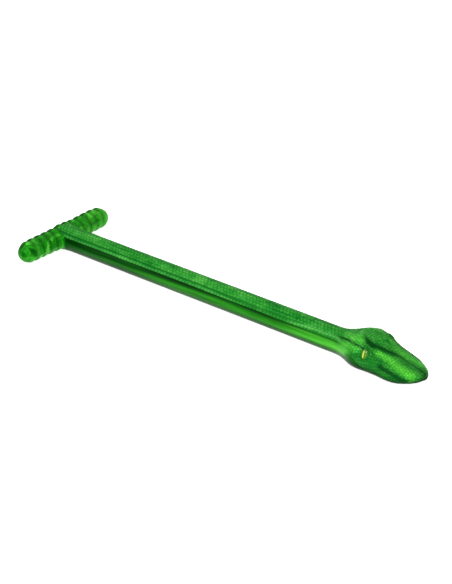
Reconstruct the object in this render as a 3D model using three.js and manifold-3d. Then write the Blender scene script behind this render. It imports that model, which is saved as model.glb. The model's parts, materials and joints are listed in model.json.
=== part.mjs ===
// A posable snake stick: a soft moulded snake with a ribbed T-bar for a tail, which a jointed spine
// inside holds in any bend. Millimetres, +Z up, +X towards the snout, +Y along the T-bar.
// The origin is on the floor, under the middle of the whole object.
// Inside this file X is measured from the T-bar's axis, and one group moves it all to the origin.

import * as THREE from 'three';
import { mergeVertices } from 'three/addons/utils/BufferGeometryUtils.js';
import Module from 'manifold-3d';

const wasm = await Module();
wasm.setup();

// Driving dimensions of the snake
const BODY_RADIUS = 12.5;
const AXIS_HEIGHT = 12.0; // a little less than the radius, so that the belly rests on a flat strip
const SNOUT_X = 438.5;
const NECK_X = 334; // axis of the neck hinge
const GAP = 0.3; // clearance between neighbouring pieces
const BEYOND = 500; // farther than any end of the snake, for cutting tools

// Ribbed T-bar
const BAR_HALF_LENGTH = 61;
const RIB_PITCH = 9.4;
const RIB_CREST = 11.9;
const RIB_GROOVE = 10.5;
const DOME_START = 5 * RIB_PITCH;
const SADDLE_HALF_WIDTH = 2 * RIB_PITCH; // the T piece ends in a groove, where the grips begin
const ROD_RADIUS = 3;
const ROD_HALF_LENGTH = 50;
const ROD_CHAMFER = 0.6;
const SOCKET_RADIUS = 0.85; // hexagon socket of the grub screw
const SOCKET_DEPTH = 1.6;

// Jointed spine
const YAW_JOINTS = 12;
const FIRST_JOINT_X = 28;
const JOINT_PITCH = (NECK_X - FIRST_JOINT_X) / YAW_JOINTS;
const LINK_WIDTH = 8;
const LINK_HEIGHT = 9;
const TONGUE_THICKNESS = 3.6;
const KNUCKLE_RADIUS = LINK_WIDTH / 2;
const KNUCKLE_CLEARANCE = KNUCKLE_RADIUS + 0.6;
const PIN_RADIUS = 1.5;
const PIN_HEAD_RADIUS = 2.6;
const PIN_HEAD_THICKNESS = 0.8;
const COLLAR_THICKNESS = 4;

// Skin sleeves around the spine
const BORE_RADIUS = 7.5;
const COLLAR_RADIUS = BORE_RADIUS - GAP;
const YAW_GAP = 1.8; // from a yaw hinge's axis to each sleeve's end, enough for 15 degrees
const NECK_GAP = 2.9; // the same at the neck hinge, enough for 25 degrees

// Head
const JAW_START_X = 372;
const MOUTH_HEIGHT = 7.0;
const CORE_COLLAR_X = 343;
const CORE_PLATE_X = 351;
const CORE_END_X = 404;
const CORE_HALF_WIDTH = 9;
const EYE_RADIUS = 4.3;
const EYE_CENTRE = { x: 386.4, y: 19.2, z: 20.6 };
const FLAT = -0.6; // the underside is made a little below the floor there, and cut flat by it
const HEAD_STATIONS = [
  // x, half width, top height, bottom height, height of the widest line, roundness exponent
  [NECK_X + NECK_GAP, 12.5, 24.5, -0.5, 12.0, 2.0],
  [350, 13.4, 25.2, FLAT, 12.3, 2.0],
  [362, 19.0, 28.6, FLAT, 13.3, 2.15],
  [375, 25.0, 31.4, FLAT, 14.6, 2.3],
  [387, 24.2, 28.2, FLAT, 13.4, 2.3],
  [399, 21.6, 22.5, FLAT, 11.2, 2.3],
  [411, 20.8, 17.4, FLAT, 9.2, 2.3],
  [422, 18.2, 14.2, FLAT, 8.3, 2.2],
  [430, 13.7, 12.9, 0.4, 8.0, 2.1],
  [435.5, 8.3, 11.7, 2.6, 7.9, 2.0],
  [SNOUT_X, 2.4, 9.6, 6.0, 8.0, 2.0],
];

// Mesh resolution
const ROUND_SIDES = 24;
const BORE_SIDES = 16;
const BAR_SIDES = 18;
const SMALL_SIDES = 8;
const KNUCKLE_SEGMENTS = 5;
const HEAD_SIDES = 24;
const HEAD_RINGS = 16;
const EYE_SIDES = 10;
const EYE_RINGS = 7;

const snake = new THREE.Group();
snake.position.x = -(SNOUT_X - RIB_CREST) / 2;

// Materials
const skinGreen = new THREE.MeshStandardMaterial({ color: 0x2f8f35, roughness: 0.32, metalness: 0 });
const gripGreen = new THREE.MeshStandardMaterial({ color: 0x1d7a24, roughness: 0.28, metalness: 0 });
const headGreen = new THREE.MeshStandardMaterial({ color: 0x2c8a3c, roughness: 0.35, metalness: 0 });
const eyeGold = new THREE.MeshStandardMaterial({ color: 0x8fbf3a, roughness: 0.12, metalness: 0 });
const nylon = new THREE.MeshStandardMaterial({ color: 0x22262a, roughness: 0.55, metalness: 0 });
const steel = new THREE.MeshStandardMaterial({ color: 0xb8bcc0, roughness: 0.3, metalness: 1 });

// Conversions between three.js geometry and solids for joining and cutting
function toSolid(geometry) {
  const bare = geometry.index ? geometry.toNonIndexed() : geometry.clone();
  bare.deleteAttribute('normal');
  bare.deleteAttribute('uv');
  const merged = mergeVertices(bare, 1e-4);
  const mesh = new wasm.Mesh({
    numProp: 3,
    vertProperties: new Float32Array(merged.attributes.position.array),
    triVerts: new Uint32Array(merged.index.array),
  });
  return new wasm.Manifold(mesh);
}

function toGeometry(solid) {
  const mesh = solid.getMesh();
  const geometry = new THREE.BufferGeometry();
  geometry.setAttribute('position', new THREE.BufferAttribute(new Float32Array(mesh.vertProperties), 3));
  geometry.setIndex(new THREE.BufferAttribute(new Uint32Array(mesh.triVerts), 1));
  geometry.computeVertexNormals();
  return geometry;
}

function addPiece(name, solid, material) {
  const mesh = new THREE.Mesh(toGeometry(solid), material);
  mesh.name = name;
  snake.add(mesh);
}

// Solids on the snake's own axis: every one is made at its final place
function box(lowX, highX, halfWidth, lowZ, highZ) {
  const geometry = new THREE.BoxGeometry(highX - lowX, 2 * halfWidth, highZ - lowZ);
  geometry.translate((lowX + highX) / 2, 0, (lowZ + highZ) / 2);
  return toSolid(geometry);
}

function cylinderX(radius, lowX, highX, sides) {
  const geometry = new THREE.CylinderGeometry(radius, radius, highX - lowX, sides);
  geometry.rotateY(Math.PI / 2); // puts a corner of the polygon at the top after the next turn
  geometry.rotateZ(-Math.PI / 2);
  geometry.translate((lowX + highX) / 2, 0, AXIS_HEIGHT);
  return toSolid(geometry);
}

function cylinderY(radius, lowY, highY, sides) {
  const geometry = new THREE.CylinderGeometry(radius, radius, highY - lowY, sides);
  geometry.translate(0, (lowY + highY) / 2, AXIS_HEIGHT);
  return toSolid(geometry);
}

function belowFloor() {
  return box(-BEYOND, BEYOND, BEYOND, -BEYOND, 0);
}

// Spine
function tab(jointX, reach, lowZ, highZ) {
  // a plate with a round end on the hinge's axis, reaching forwards or backwards from it
  const shape = new THREE.Shape();
  const side = Math.sign(reach);
  shape.moveTo(reach, -side * KNUCKLE_RADIUS);
  shape.lineTo(reach, side * KNUCKLE_RADIUS);
  shape.lineTo(0, side * KNUCKLE_RADIUS);
  shape.absarc(0, 0, KNUCKLE_RADIUS, side * Math.PI / 2, side * Math.PI * 1.5, false);
  const geometry = new THREE.ExtrudeGeometry(shape, {
    depth: highZ - lowZ,
    bevelEnabled: false,
    curveSegments: KNUCKLE_SEGMENTS,
  });
  geometry.translate(jointX, 0, AXIS_HEIGHT + lowZ);
  return toSolid(geometry);
}

function pinHole(jointX) {
  const radius = PIN_RADIUS + GAP;
  const geometry = new THREE.CylinderGeometry(radius, radius, 3 * LINK_HEIGHT, SMALL_SIDES);
  geometry.rotateX(Math.PI / 2);
  geometry.translate(jointX, 0, AXIS_HEIGHT);
  return toSolid(geometry);
}

function turnedToNeck(solid) {
  // turns a vertical hinge's solid a quarter turn about the spine's axis, for the neck hinge
  return solid.translate([0, 0, -AXIS_HEIGHT]).rotate([90, 0, 0]).translate([0, 0, AXIS_HEIGHT]);
}

function tongue(jointX) {
  const plate = tab(jointX, KNUCKLE_CLEARANCE + 1, -TONGUE_THICKNESS / 2, TONGUE_THICKNESS / 2);
  return plate.subtract(pinHole(jointX));
}

function fork(jointX) {
  const inner = TONGUE_THICKNESS / 2 + GAP;
  const outer = LINK_HEIGHT / 2;
  const reach = -(KNUCKLE_CLEARANCE + 1);
  const ears = tab(jointX, reach, inner, outer).add(tab(jointX, reach, -outer, -inner));
  return ears.subtract(pinHole(jointX));
}

function spineBar(lowX, highX, halfWidth) {
  return box(lowX, highX, halfWidth, AXIS_HEIGHT - LINK_HEIGHT / 2, AXIS_HEIGHT + LINK_HEIGHT / 2);
}

function collar(startX) {
  return cylinderX(COLLAR_RADIUS, startX, startX + COLLAR_THICKNESS, BORE_SIDES);
}

function linkBlock(lowX, highX) {
  const collarX = (lowX + highX - COLLAR_THICKNESS) / 2;
  return spineBar(lowX, highX, LINK_WIDTH / 2).add(collar(collarX));
}

function spineLink(rearX, frontX, frontIsNeck) {
  const block = linkBlock(rearX + KNUCKLE_CLEARANCE, frontX - KNUCKLE_CLEARANCE);
  const front = frontIsNeck ? turnedToNeck(fork(frontX)) : fork(frontX);
  return block.add(tongue(rearX)).add(front);
}

function hingePin(jointX) {
  const half = LINK_HEIGHT / 2 + GAP;
  const top = half + PIN_HEAD_THICKNESS;
  const profile = [
    new THREE.Vector2(0, -top),
    new THREE.Vector2(PIN_HEAD_RADIUS, -top),
    new THREE.Vector2(PIN_HEAD_RADIUS, -half),
    new THREE.Vector2(PIN_RADIUS, -half),
    new THREE.Vector2(PIN_RADIUS, half),
    new THREE.Vector2(PIN_HEAD_RADIUS, half),
    new THREE.Vector2(PIN_HEAD_RADIUS - 0.5, top),
    new THREE.Vector2(0, top),
  ];
  const geometry = new THREE.LatheGeometry(profile, SMALL_SIDES);
  geometry.rotateX(Math.PI / 2);
  geometry.translate(jointX, 0, AXIS_HEIGHT);
  return toSolid(geometry);
}

// Body
function bodySleeve(lowX, highX) {
  const outer = cylinderX(BODY_RADIUS, lowX, highX, ROUND_SIDES);
  const bore = cylinderX(BORE_RADIUS, lowX - 1, highX + 1, BORE_SIDES);
  return outer.subtract(bore).subtract(belowFloor());
}

// Tail
function ribRadius(y) {
  const distance = Math.abs(y);
  if (distance < DOME_START) {
    const wave = Math.cos(2 * Math.PI * (distance / RIB_PITCH - 0.5));
    return (RIB_CREST + RIB_GROOVE) / 2 + (RIB_CREST - RIB_GROOVE) / 2 * wave;
  }
  const along = (distance - DOME_START) / (BAR_HALF_LENGTH - DOME_START);
  return RIB_GROOVE * Math.sqrt(Math.max(0, 1 - along ** 2.4));
}

function ribbedBar(lowY, highY) {
  const steps = Math.round((highY - lowY) / (RIB_PITCH / 4));
  const profile = [new THREE.Vector2(0, lowY)];
  for (let step = 0; step <= steps; step += 1) {
    const y = lowY + (highY - lowY) * step / steps;
    const radius = ribRadius(y);
    if (radius > 0.5) profile.push(new THREE.Vector2(radius, y));
  }
  profile.push(new THREE.Vector2(0, highY));
  const geometry = new THREE.LatheGeometry(profile, BAR_SIDES);
  geometry.translate(0, 0, AXIS_HEIGHT);
  return toSolid(geometry);
}

function tailSkin() {
  const edge = SADDLE_HALF_WIDTH - GAP / 2;
  const bar = ribbedBar(-edge, edge);
  const shaft = cylinderX(BODY_RADIUS, 0, FIRST_JOINT_X - YAW_GAP, ROUND_SIDES);
  const crossBore = cylinderY(BORE_RADIUS, -edge - 1, edge + 1, BORE_SIDES);
  const shaftBore = cylinderX(BORE_RADIUS, 0, FIRST_JOINT_X, BORE_SIDES);
  return bar.add(shaft).subtract(crossBore).subtract(shaftBore).subtract(belowFloor());
}

function barGrip() {
  const grip = ribbedBar(SADDLE_HALF_WIDTH + GAP / 2, BAR_HALF_LENGTH);
  const bore = cylinderY(ROD_RADIUS + GAP, 0, ROD_HALF_LENGTH + GAP, SMALL_SIDES);
  return grip.subtract(bore).subtract(belowFloor());
}

function crossRod() {
  const profile = [
    new THREE.Vector2(0, -ROD_HALF_LENGTH),
    new THREE.Vector2(ROD_RADIUS - ROD_CHAMFER, -ROD_HALF_LENGTH),
    new THREE.Vector2(ROD_RADIUS, -ROD_HALF_LENGTH + ROD_CHAMFER),
    new THREE.Vector2(ROD_RADIUS, ROD_HALF_LENGTH - ROD_CHAMFER),
    new THREE.Vector2(ROD_RADIUS - ROD_CHAMFER, ROD_HALF_LENGTH),
    new THREE.Vector2(0, ROD_HALF_LENGTH),
  ];
  const geometry = new THREE.LatheGeometry(profile, SMALL_SIDES);
  geometry.translate(0, 0, AXIS_HEIGHT);
  return toSolid(geometry);
}

function tailHub() {
  const barrelHalf = SADDLE_HALF_WIDTH - 1;
  const barrel = cylinderY(COLLAR_RADIUS, -barrelHalf, barrelHalf, BORE_SIDES);
  const block = linkBlock(0, FIRST_JOINT_X - KNUCKLE_CLEARANCE);
  const rodBore = cylinderY(ROD_RADIUS + GAP, -barrelHalf - 1, barrelHalf + 1, SMALL_SIDES);
  const screwHole = cylinderX(PIN_RADIUS + GAP, -COLLAR_RADIUS - 1, 0, SMALL_SIDES);
  return barrel.add(block).add(fork(FIRST_JOINT_X)).subtract(rodBore).subtract(screwHole);
}

function hubScrew() {
  const tipX = -(ROD_RADIUS + GAP);
  const endX = -COLLAR_RADIUS + 0.5;
  const shank = cylinderX(PIN_RADIUS, endX, tipX, SMALL_SIDES);
  const socket = cylinderX(SOCKET_RADIUS, endX - 1, endX + SOCKET_DEPTH, 6);
  return shank.subtract(socket);
}

// Head
function stationAt(x) {
  const last = HEAD_STATIONS.length - 1;
  let index = HEAD_STATIONS.findIndex((station) => station[0] > x) - 1;
  if (index < 0) index = last - 1;
  const [from, to] = [HEAD_STATIONS[index], HEAD_STATIONS[index + 1]];
  const before = HEAD_STATIONS[Math.max(0, index - 1)];
  const after = HEAD_STATIONS[Math.min(last, index + 2)];
  const t = (x - from[0]) / (to[0] - from[0]);
  return from.map((value, column) => {
    // cubic through the stations, with slopes taken across each station
    const width = to[0] - from[0];
    const slopeFrom = (to[column] - before[column]) / Math.max(to[0] - before[0], width);
    const slopeTo = (after[column] - value) / Math.max(after[0] - from[0], width);
    const a = value;
    const b = to[column];
    const t2 = t * t;
    const t3 = t2 * t;
    return (2 * t3 - 3 * t2 + 1) * a + (t3 - 2 * t2 + t) * width * slopeFrom
      + (-2 * t3 + 3 * t2) * b + (t3 - t2) * width * slopeTo;
  });
}

function headPoint(station, angle) {
  const [x, halfWidth, top, bottom, widest, exponent] = station;
  const across = Math.cos(angle);
  const up = Math.sin(angle);
  const y = halfWidth * Math.sign(across) * Math.abs(across) ** (2 / exponent);
  const half = up > 0 ? top - widest : widest - bottom;
  return [x, y, widest + half * Math.sign(up) * Math.abs(up) ** (2 / exponent)];
}

function headSolid() {
  const rings = HEAD_RINGS;
  const positions = [];
  const first = HEAD_STATIONS[0][0];
  for (let ring = 0; ring <= rings; ring += 1) {
    const t = ring / rings;
    const x = first + (SNOUT_X - first) * (1 - (1 - t) ** 1.35); // closer together at the snout
    const station = stationAt(Math.min(x, SNOUT_X - 1e-6));
    for (let side = 0; side < HEAD_SIDES; side += 1) {
      positions.push(...headPoint(station, 2 * Math.PI * side / HEAD_SIDES));
    }
  }
  const indices = [];
  for (let ring = 0; ring < rings; ring += 1) {
    for (let side = 0; side < HEAD_SIDES; side += 1) {
      const a = ring * HEAD_SIDES + side;
      const b = ring * HEAD_SIDES + (side + 1) % HEAD_SIDES;
      const c = a + HEAD_SIDES;
      const d = b + HEAD_SIDES;
      indices.push(a, b, d, a, d, c);
    }
  }
  const end = rings * HEAD_SIDES;
  for (let side = 1; side < HEAD_SIDES - 1; side += 1) {
    indices.push(0, side + 1, side);
    indices.push(end, end + side, end + side + 1);
  }
  const geometry = new THREE.BufferGeometry();
  geometry.setAttribute('position', new THREE.Float32BufferAttribute(positions, 3));
  geometry.setIndex(indices);
  return toSolid(geometry).subtract(belowFloor());
}

function ball(radius, centre, side) {
  const geometry = new THREE.SphereGeometry(radius, EYE_SIDES, EYE_RINGS);
  geometry.translate(centre.x, side * centre.y, centre.z);
  return toSolid(geometry);
}

function headSkins() {
  const whole = headSolid();
  const jawSpace = box(JAW_START_X, BEYOND, BEYOND, -1, MOUTH_HEIGHT);
  const jawTool = box(JAW_START_X + GAP, BEYOND, BEYOND, -1, MOUTH_HEIGHT - GAP);
  const neckBore = cylinderX(BORE_RADIUS, NECK_X, CORE_PLATE_X + 1, BORE_SIDES);
  const coreTop = AXIS_HEIGHT + LINK_HEIGHT / 2 + GAP;
  const coreHalf = CORE_HALF_WIDTH + GAP;
  const coreSpace = box(CORE_PLATE_X - 1, CORE_END_X + GAP, coreHalf, MOUTH_HEIGHT, coreTop);
  const sockets = ball(EYE_RADIUS + GAP, EYE_CENTRE, 1).add(ball(EYE_RADIUS + GAP, EYE_CENTRE, -1));
  const crown = whole.subtract(jawSpace).subtract(neckBore).subtract(coreSpace).subtract(sockets);
  const jaw = whole.intersect(jawTool);
  return { crown, jaw };
}

function headCore() {
  const neck = spineBar(NECK_X + KNUCKLE_CLEARANCE, CORE_PLATE_X + 1, LINK_WIDTH / 2);
  const plate = spineBar(CORE_PLATE_X, CORE_END_X, CORE_HALF_WIDTH);
  return neck.add(collar(CORE_COLLAR_X)).add(plate).add(turnedToNeck(tongue(NECK_X)));
}

// Assembly
function jointX(number) {
  return FIRST_JOINT_X + (number - 1) * JOINT_PITCH;
}

function numbered(name, number) {
  return `${name}_${String(number).padStart(2, '0')}`;
}

addPiece('cross_rod', crossRod(), steel);
addPiece('tail_hub', tailHub(), nylon);
addPiece('hub_screw', hubScrew(), steel);
addPiece('tail_skin', tailSkin(), skinGreen);
addPiece('left_grip', barGrip(), gripGreen);
addPiece('right_grip', barGrip().mirror([0, 1, 0]), gripGreen);

for (let number = 1; number <= YAW_JOINTS + 1; number += 1) {
  const pin = hingePin(jointX(number));
  addPiece(numbered('spine_pin', number), number > YAW_JOINTS ? turnedToNeck(pin) : pin, steel);
}

for (let number = 1; number <= YAW_JOINTS; number += 1) {
  const rearX = jointX(number);
  const frontX = jointX(number + 1);
  const isLast = number === YAW_JOINTS;
  addPiece(numbered('spine_link', number), spineLink(rearX, frontX, isLast), nylon);
  const sleeveEnd = frontX - (isLast ? NECK_GAP : YAW_GAP);
  addPiece(numbered('body_skin', number), bodySleeve(rearX + YAW_GAP, sleeveEnd), skinGreen);
}

const { crown, jaw } = headSkins();
addPiece('head_core', headCore(), nylon);
addPiece('head_crown', crown, headGreen);
addPiece('lower_jaw', jaw, headGreen);
addPiece('left_eye', ball(EYE_RADIUS, EYE_CENTRE, 1), eyeGold);
addPiece('right_eye', ball(EYE_RADIUS, EYE_CENTRE, -1), eyeGold);

export default snake;
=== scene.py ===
"""A posable snake stick: a glossy green snake, cast in soft silicone, with a ribbed T-bar for a tail.

The visible skin is made here, in one continuous surface that is cut into a piece for each hinge of the
spine inside. Lengths are in millimetres until a mesh is made.
X is measured from the T-bar's axis towards the snout, and Z from the floor.
"""

import json
import math

import bmesh
import bpy
import numpy as np
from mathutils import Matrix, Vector, kdtree

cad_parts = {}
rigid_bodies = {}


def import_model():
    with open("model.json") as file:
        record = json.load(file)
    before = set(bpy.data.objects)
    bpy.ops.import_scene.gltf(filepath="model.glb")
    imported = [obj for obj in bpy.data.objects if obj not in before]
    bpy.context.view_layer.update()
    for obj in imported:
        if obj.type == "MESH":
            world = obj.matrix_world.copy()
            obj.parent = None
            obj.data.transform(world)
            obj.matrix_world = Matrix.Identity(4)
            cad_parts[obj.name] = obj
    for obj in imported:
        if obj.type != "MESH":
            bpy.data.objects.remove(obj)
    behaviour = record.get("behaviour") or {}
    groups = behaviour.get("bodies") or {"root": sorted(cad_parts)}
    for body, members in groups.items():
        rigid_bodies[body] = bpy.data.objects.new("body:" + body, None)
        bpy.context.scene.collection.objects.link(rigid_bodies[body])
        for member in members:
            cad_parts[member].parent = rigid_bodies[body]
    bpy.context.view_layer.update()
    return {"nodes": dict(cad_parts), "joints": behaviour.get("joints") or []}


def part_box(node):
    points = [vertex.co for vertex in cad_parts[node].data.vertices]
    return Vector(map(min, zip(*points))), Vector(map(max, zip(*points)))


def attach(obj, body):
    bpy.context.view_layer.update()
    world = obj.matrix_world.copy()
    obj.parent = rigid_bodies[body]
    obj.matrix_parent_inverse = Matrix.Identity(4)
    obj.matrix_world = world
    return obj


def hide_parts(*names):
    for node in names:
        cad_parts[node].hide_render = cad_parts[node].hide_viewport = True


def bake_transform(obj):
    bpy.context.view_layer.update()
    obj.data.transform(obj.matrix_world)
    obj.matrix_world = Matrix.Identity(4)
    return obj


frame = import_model()

# ---------------------------------------------------------------- sizes, from the frame
MM = 0.001


def node_box(name):
    low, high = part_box(name)
    return np.array(low) / MM, np.array(high) / MM


bar_low, bar_high = node_box("cross_rod")
BAR_X = (bar_low[0] + bar_high[0]) / 2
HINGES = [joint["pos_m"][0] / MM - BAR_X for joint in frame["joints"]]
AXIS_Z = frame["joints"][0]["pos_m"][2] / MM
PITCH = HINGES[1] - HINGES[0]
sleeve_low, sleeve_high = node_box("body_skin_01")
RADIUS = (sleeve_high[1] - sleeve_low[1]) / 2
SNOUT_X = node_box("head_crown")[1][0] - BAR_X
BAR_HALF = node_box("left_grip")[1][1]
GRIP_START = node_box("left_grip")[0][1]
BODIES = [frame["joints"][0]["parent"]] + [joint["child"] for joint in frame["joints"]]

# Body skin
SCALE_LENGTH = PITCH / 6.5
SKIN_STEP = PITCH / 70  # between the rows of the skin's mesh
ROW_ANGLE = 15.5  # degrees around the body that each row of scales takes
ROWS_EACH_SIDE = 4
BACK_EDGE = ROW_ANGLE * ROWS_EACH_SIDE
FLANK_END = 90.0
SCALE_HEIGHT = 0.5
TURN_LENGTH = 0.022  # of the skin's streaks, in centimetres for each degree round the body
FIRST_CUT = HINGES[0] - PITCH / 2  # the T ends and the first bending piece starts
SKIN_INNER = 7.7  # radius of the bore around the spine
BORE_ROWS = 10

# Head
NECK_CUT = HINGES[-1] + PITCH / 2
EYE_LOW, EYE_HIGH = node_box("left_eye")
EYE = (EYE_LOW + EYE_HIGH) / 2 - np.array([BAR_X, 0, 0])
EYE_RADIUS = (EYE_HIGH[1] - EYE_LOW[1]) / 2
EYE_HEIGHT = EYE_RADIUS + 1.1  # half sizes of the oval eye: up the head, along it and out of it
EYE_LENGTH = EYE_RADIUS - 0.2
EYE_DEPTH = EYE_RADIUS - 2.7
EYE_OUT = 1.4  # how far the oval eye's middle lies outside the middle of the frame's round one

REST_SCALE = 0.1  # the materials' patterns are sized in centimetres

# Numbers on each point of a skin that tell its material what lies there
FIELDS = (
    "back", "relief", "core", "bead_row_highlight", "shade", "flank", "under",
    "lit", "band", "glow", "marble", "mottle", "turn",
)


# ---------------------------------------------------------------- small maths
def smooth(low, high, value):
    t = np.clip((value - low) / (high - low), 0, 1)
    return t * t * (3 - 2 * t)


def bump(low, high, value):
    """0 outside low..high, rising smoothly to 1 in the middle."""
    middle = (low + high) / 2
    return smooth(low, middle, value) * (1 - smooth(middle, high, value))


def falloff(distance, width):
    """1 at no distance, falling smoothly to near 0 at twice the width."""
    return np.exp(-((distance / width) ** 2))


def soft_floor(z, softness=0.3):
    """Heights kept above the floor, with a soft edge where they meet it."""
    return 0.5 * (z + np.sqrt(z * z + softness * softness))


def unit(vectors):
    return vectors / np.maximum(np.linalg.norm(vectors, axis=-1, keepdims=True), 1e-9)


def folded(points):
    """The points, with those on the snake's right side mirrored to its left."""
    result = points.copy()
    result[..., 1] = np.abs(result[..., 1])
    return result


def mixed(first, second, share):
    """Two sets of fields mixed point by point, by the second set's share."""
    return {key: value + (second[key] - value) * share for key, value in first.items()}


def through(points, x):
    """Values at x on a smooth curve through points, a list of (x, value, value, ...)."""
    table = np.array(points, float)
    at = np.clip(x, table[0, 0], table[-1, 0])
    index = np.clip(np.searchsorted(table[:, 0], at, side="right") - 1, 0, len(table) - 2)
    before = np.maximum(index - 1, 0)
    after = np.minimum(index + 2, len(table) - 1)
    width = (table[index + 1, 0] - table[index, 0])[..., None]
    t = ((at - table[index, 0]) / width[..., 0])[..., None]
    start, end = table[index, 1:], table[index + 1, 1:]
    slope_start = (end - table[before, 1:]) / (table[index + 1, 0] - table[before, 0])[..., None] * width
    slope_end = (table[after, 1:] - start) / (table[after, 0] - table[index, 0])[..., None] * width
    t2, t3 = t * t, t * t * t
    return (
        (2 * t3 - 3 * t2 + 1) * start + (t3 - 2 * t2 + t) * slope_start
        + (3 * t2 - 2 * t3) * end + (t3 - t2) * slope_end
    )


# ---------------------------------------------------------------- mesh making
def link(obj):
    bpy.context.scene.collection.objects.link(obj)
    return obj


def to_row(points):
    """Millimetres from the T-bar's axis to metres in the shared frame."""
    return (points + np.array([BAR_X, 0, 0])) * MM


def make_object(name, points, faces, material, fields=None, normals=None):
    mesh = bpy.data.meshes.new(name)
    mesh.from_pydata(to_row(points).tolist(), [], faces)
    mesh.materials.append(material)
    mesh.polygons.foreach_set("use_smooth", [True] * len(mesh.polygons))
    fields = fields or {}
    for field in FIELDS:
        values = np.broadcast_to(fields.get(field, 0.0), len(points)).astype(np.float32)
        mesh.attributes.new(field, "FLOAT", "POINT").data.foreach_set("value", values)
    rest = mesh.attributes.new("rest", "FLOAT_VECTOR", "POINT")
    rest.data.foreach_set("vector", (points * REST_SCALE).astype(np.float32).ravel())
    mesh.update()
    if normals is not None:
        mesh.normals_split_custom_set_from_vertices(unit(normals).tolist())
    return link(bpy.data.objects.new(name, mesh))


def grid_faces(rows, columns, wrap=True, start=0, flip=False):
    faces = []
    for row in range(rows - 1):
        for column in range(columns if wrap else columns - 1):
            a = start + row * columns + column
            b = start + row * columns + (column + 1) % columns
            face = (a, a + columns, b + columns, b)
            faces.append(face[::-1] if flip else face)
    return faces


def grid_normals(grid):
    """Normals of a grid of points, wrapped around in its second direction."""
    along = np.gradient(grid, axis=0)
    around = np.roll(grid, -1, axis=1) - np.roll(grid, 1, axis=1)
    return unit(np.cross(along, around))


def shell_piece(name, points, normals, faces, fields, thickness, material):
    """A closed shell: the faces, the same faces moved inwards, and a rim along every open edge."""
    faces = np.asarray(faces)
    used, local = np.unique(faces, return_inverse=True)
    local = local.reshape(faces.shape)
    outer = points[used]
    inner = outer - normals[used] * thickness
    inner[:, 2] = np.maximum(inner[:, 2], thickness * 0.5)
    count = len(used)
    edges = np.concatenate([np.stack([local[:, i], local[:, (i + 1) % 4]], 1) for i in range(4)])
    edges = edges[edges[:, 0] != edges[:, 1]]
    key = np.sort(edges, 1)
    _, first, repeats = np.unique(key, axis=0, return_index=True, return_counts=True)
    rim = edges[first[repeats == 1]]
    rim_faces = [(int(b), int(a), int(a) + count, int(b) + count) for a, b in rim]
    outside = [tuple(dict.fromkeys(face)) for face in local.tolist()]
    inside = [tuple(i + count for i in face[::-1]) for face in outside]
    doubled = {key: np.tile(value[used], 2) for key, value in fields.items()}
    both_normals = np.concatenate([normals[used], -normals[used]])
    return make_object(
        name, np.concatenate([outer, inner]), outside + inside + rim_faces, material, doubled, both_normals
    )


def mesh_normals(points, faces):
    """Area-weighted normals of a mesh of quads and triangles, where a triangle repeats its last corner."""
    corners = points[faces]
    face_normals = np.cross(corners[:, 2] - corners[:, 0], corners[:, 3] - corners[:, 1])
    flat = np.isclose(np.linalg.norm(face_normals, axis=1), 0)
    face_normals[flat] = np.cross(corners[flat, 1] - corners[flat, 0], corners[flat, 2] - corners[flat, 0])
    total = np.zeros_like(points)
    for corner in range(4):
        np.add.at(total, faces[:, corner], face_normals)
    return unit(total)


# ---------------------------------------------------------------- the snake's shape
SECTIONS = [
    # x, half width, top, bottom, height of the widest line, roundness exponent
    (HINGES[-1] - PITCH, RADIUS, AXIS_Z + RADIUS, AXIS_Z - RADIUS, AXIS_Z, 2.0),
    (HINGES[-1], RADIUS, AXIS_Z + RADIUS, AXIS_Z - RADIUS, AXIS_Z, 2.0),
    (342, 12.3, 24.6, -0.5, 12.1, 2.0),
    (350, 13.4, 25.2, -0.5, 12.4, 2.0),
    (356, 15.8, 26.6, -0.5, 12.8, 2.05),
    (362, 19.0, 28.5, -0.5, 13.4, 2.15),
    (368, 22.4, 30.5, -0.5, 14.2, 2.25),
    (374, 24.8, 31.3, -0.5, 14.6, 2.3),
    (380, 25.2, 30.8, -0.5, 14.3, 2.3),
    (387, 24.1, 28.1, -0.5, 13.4, 2.3),
    (398, 22.8, 21.9, -0.5, 11.0, 2.3),
    (410, 22.9, 16.3, -0.5, 8.7, 2.3),
    (418, 21.1, 14.1, -0.5, 7.9, 2.25),
    (425, 17.0, 13.2, 0.2, 7.9, 2.2),
    (431, 12.5, 12.5, 1.8, 8.1, 2.15),
    (435.5, 7.9, 11.6, 4.0, 8.2, 2.1),
    (438.0, 3.8, 10.5, 5.8, 8.3, 2.0),
    (SNOUT_X, 0.05, 8.6, 8.2, 8.4, 2.0),
]


def base_point(x, psi):
    """The smooth skin at x, psi radians round from the top towards the snake's left."""
    x, psi = np.broadcast_arrays(np.asarray(x, float), psi)
    half, top, bottom, widest, exponent = np.moveaxis(through(SECTIONS, x), -1, 0)
    across, up = np.sin(psi), np.cos(psi)
    y = half * np.sign(across) * np.abs(across) ** (2 / exponent)
    height = np.where(up > 0, top - widest, widest - bottom)
    z = widest + height * np.sign(up) * np.abs(up) ** (2 / exponent)
    return np.stack([x, y, z], -1)


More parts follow.
